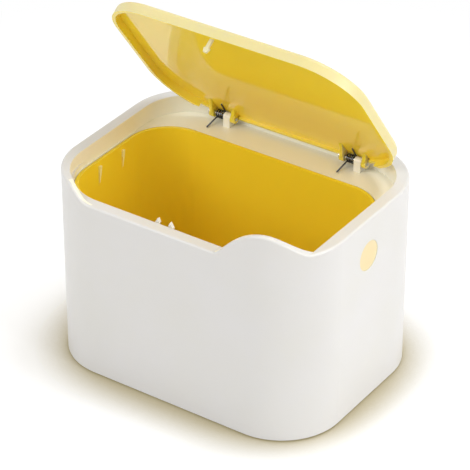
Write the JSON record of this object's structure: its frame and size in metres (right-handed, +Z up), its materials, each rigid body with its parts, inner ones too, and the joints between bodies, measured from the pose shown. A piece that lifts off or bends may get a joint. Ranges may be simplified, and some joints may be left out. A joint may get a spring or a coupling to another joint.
{
  "type": "desktop waste bin",
  "caption": "Small rounded desktop bin: a white sleeve with a sprung yellow lid and a touch latch lifts off a yellow inner liner.",
  "frame": {"origin": "under the middle of the bin, on the surface that it stands on", "axes": "+X to the right and along the lid's hinge, +Y to the back where the hinges are, +Z up"},
  "size_m": [0.16, 0.12, 0.1903],
  "materials": {
    "shell_plastic": "white moulded plastic, satin",
    "liner_plastic": "golden yellow moulded plastic, satin",
    "lid_plastic": "golden yellow moulded plastic, glossy",
    "latch_plastic": "white acetal plastic",
    "striker_plastic": "pale yellow plastic",
    "plug_plastic": "pale yellow plastic, satin",
    "pin_steel": "plain steel wire",
    "spring_steel": "dark spring steel wire",
    "screw_steel": "zinc plated steel",
    "foot_rubber": "soft rubber"
  },
  "bodies": {
    "liner": {"inner_liner": "liner_plastic", "foot_front_left": "foot_rubber", "foot_front_right": "foot_rubber", "foot_back_left": "foot_rubber", "foot_back_right": "foot_rubber"},
    "sleeve": {"outer_shell": "shell_plastic", "hinge_pin_left": "pin_steel", "hinge_pin_right": "pin_steel", "hinge_spring_left": "spring_steel", "hinge_spring_right": "spring_steel", "latch_housing": "latch_plastic", "latch_screw_left": "screw_steel", "latch_screw_right": "screw_steel", "latch_spring": "spring_steel", "side_plug_left": "plug_plastic", "side_plug_right": "plug_plastic"},
    "lid": {"lid": "lid_plastic", "lid_striker": "striker_plastic", "striker_screw_left": "screw_steel", "striker_screw_right": "screw_steel"},
    "slider": {"latch_slider": "latch_plastic", "claw_pin_left": "pin_steel", "claw_pin_right": "pin_steel"},
    "claw_left": {"latch_claw_left": "latch_plastic"},
    "claw_right": {"latch_claw_right": "latch_plastic"}
  },
  "joints": [
    {"name": "sleeve_lift", "type": "slide", "parent": "liner", "child": "sleeve", "axis": [0, 0, 1], "range_m": [0, 0.115]},
    {"name": "lid_hinge", "type": "hinge", "parent": "sleeve", "child": "lid", "pos_m": [0, 0.0483, 0.1032], "axis": [1, 0, 0], "range_deg": [0, 54], "stiffness_Nm_per_rad": 0.03, "springref_deg": -57.3, "deforming": ["hinge_spring_left", "hinge_spring_right"]},
    {"name": "latch_press", "type": "slide", "parent": "sleeve", "child": "slider", "axis": [0, 0, -1], "range_m": [0, 0.002], "stiffness_N_per_m": 300, "springref_m": -0.001, "deforming": ["latch_spring"]},
    {"name": "claw_left_turn", "type": "hinge", "parent": "slider", "child": "claw_left", "pos_m": [-0.009, -0.0515, 0.09072], "axis": [0, 1, 0], "range_deg": [0, 8.1]},
    {"name": "claw_right_turn", "type": "hinge", "parent": "slider", "child": "claw_right", "pos_m": [-0.003, -0.0515, 0.09072], "axis": [0, -1, 0], "range_deg": [0, 8.1]}
  ],
  "couplings": [
    {"joint": "claw_left_turn", "follows": "latch_press", "rad_per_m": 69.813},
    {"joint": "claw_right_turn", "follows": "latch_press", "rad_per_m": 69.813}
  ]
}
